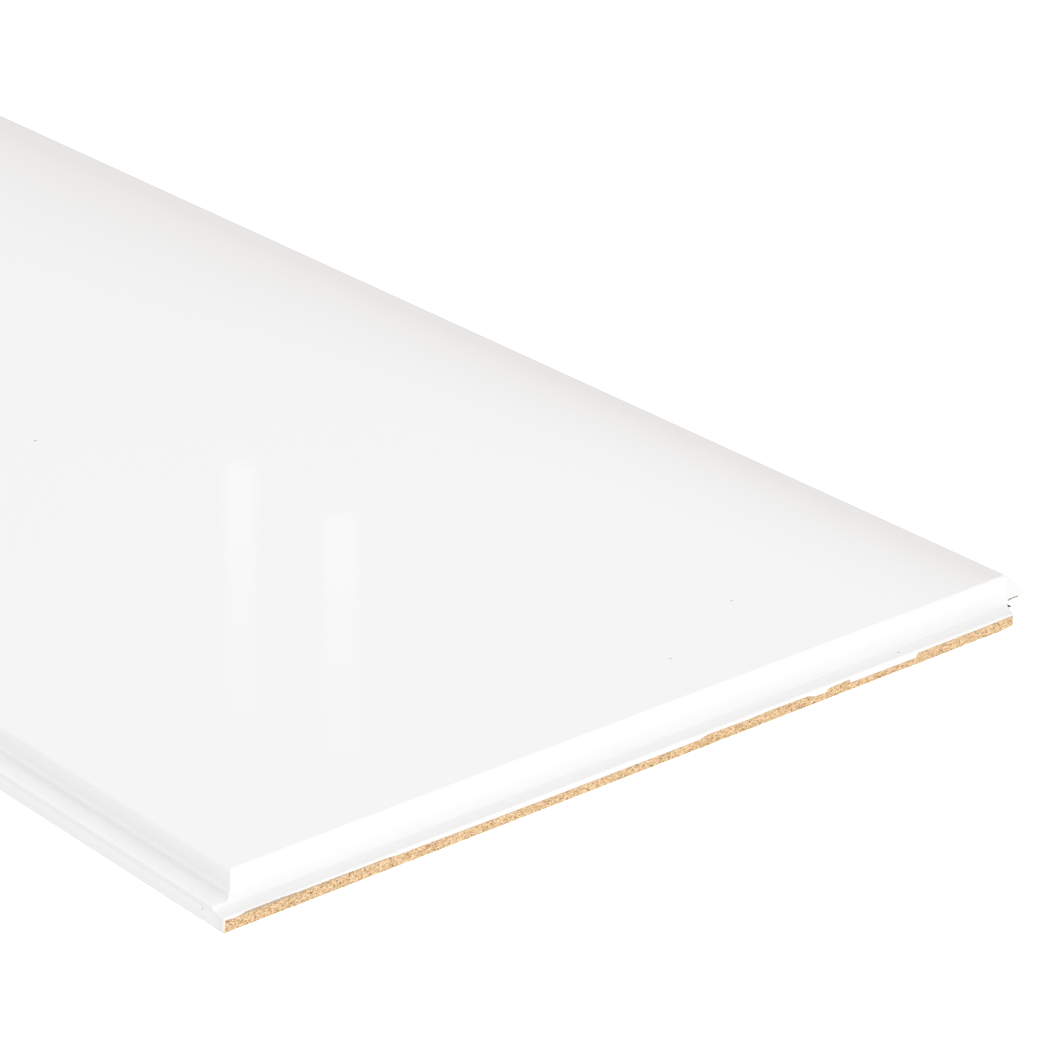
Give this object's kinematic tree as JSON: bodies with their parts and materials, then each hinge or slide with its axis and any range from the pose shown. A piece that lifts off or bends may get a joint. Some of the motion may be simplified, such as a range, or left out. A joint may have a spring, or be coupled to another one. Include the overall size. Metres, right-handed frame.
{
  "type": "wall panel",
  "caption": "White gloss-lacquered particleboard wall panel with lap-jointed edges: lips on one side and end, bevelled noses on the opposite side and end.",
  "frame": {"origin": "on the back face, at the middle of the panel's overall width and length", "axes": "+X across the panel from the lipped side to the nosed side, +Y along the panel from the lipped end to the nosed end, +Z out of the visible face"},
  "size_m": [0.2624, 1.2108, 0.012],
  "materials": {
    "panel": "gloss"
  },
  "bodies": {
    "root": {"panel": "panel"}
  },
  "joints": []
}
